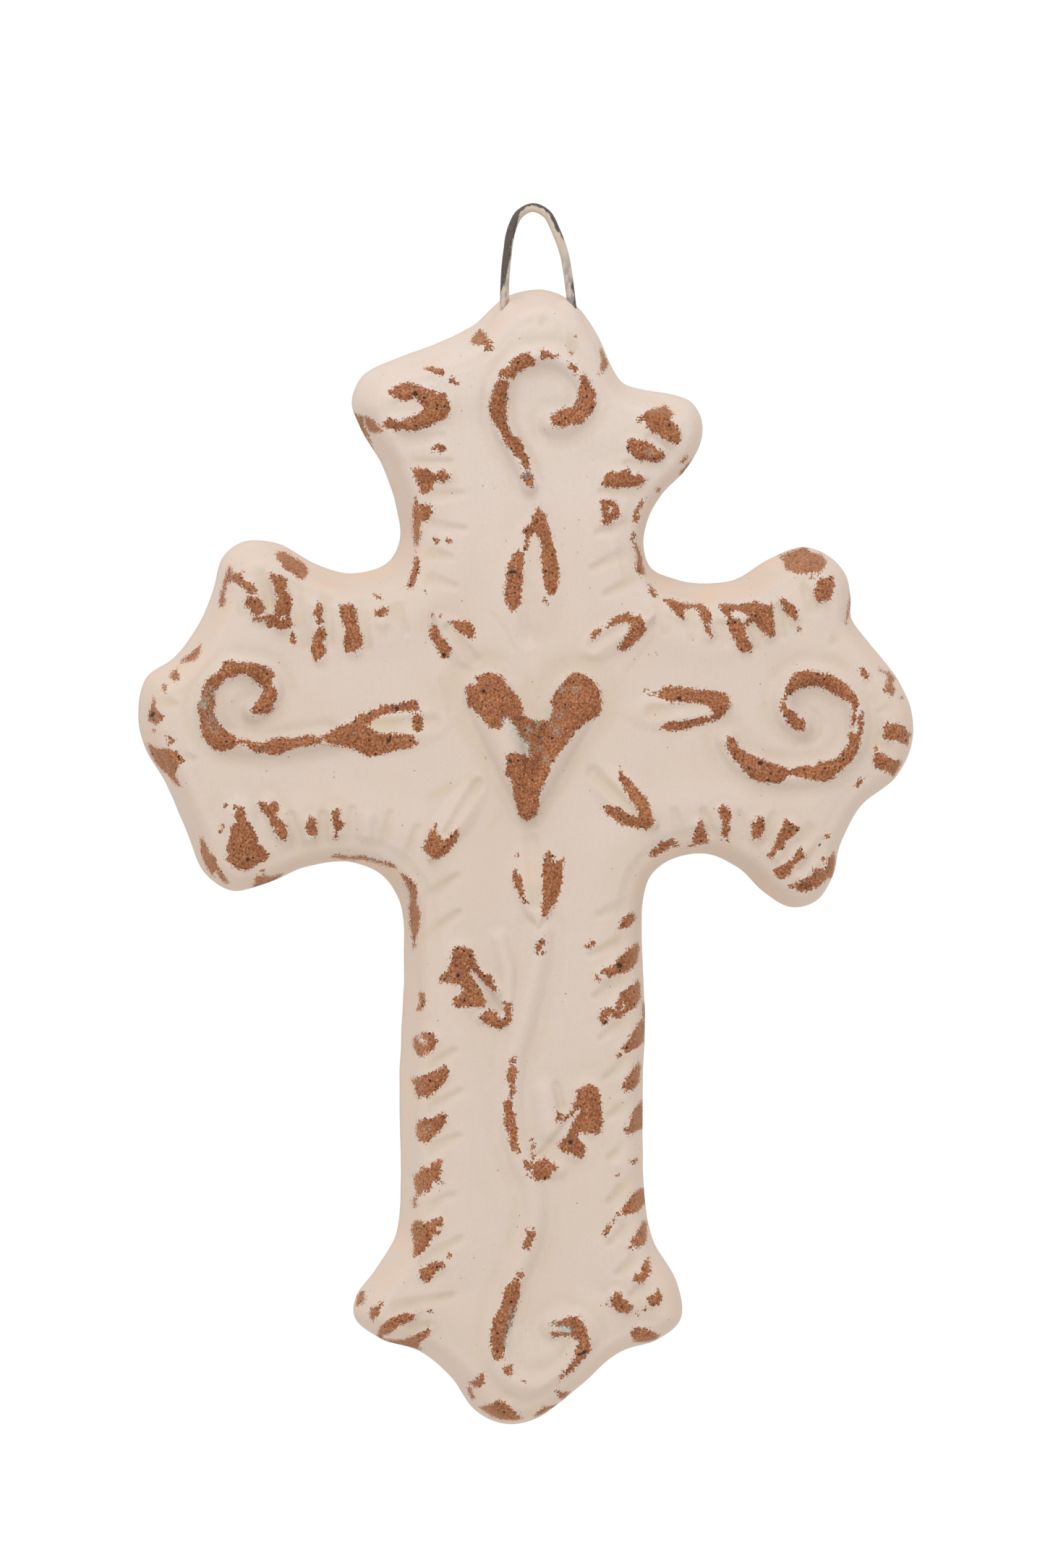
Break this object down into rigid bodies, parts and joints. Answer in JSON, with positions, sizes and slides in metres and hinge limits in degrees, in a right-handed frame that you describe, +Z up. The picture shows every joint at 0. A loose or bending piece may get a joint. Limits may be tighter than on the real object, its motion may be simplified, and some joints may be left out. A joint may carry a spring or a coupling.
{
  "type": "clay wall cross",
  "caption": "Moulded clay wall cross with a fluted border, scrolls, petals, a heart and a leafy vine in relief, hung by a steel wire loop.",
  "frame": {"origin": "the highest point inside the wire loop, where the nail that the cross hangs on bears", "axes": "+Z up, the cross's length; +X to the right as the face is seen; the carved face looks along -Y and the flat back along +Y, towards the wall"},
  "size_m": [0.1149, 0.0137, 0.1805],
  "materials": {
    "painted_clay": "matt",
    "steel_wire": "dull"
  },
  "bodies": {
    "root": {"clay_cross": "painted_clay", "wire_loop": "steel_wire"}
  },
  "joints": []
}
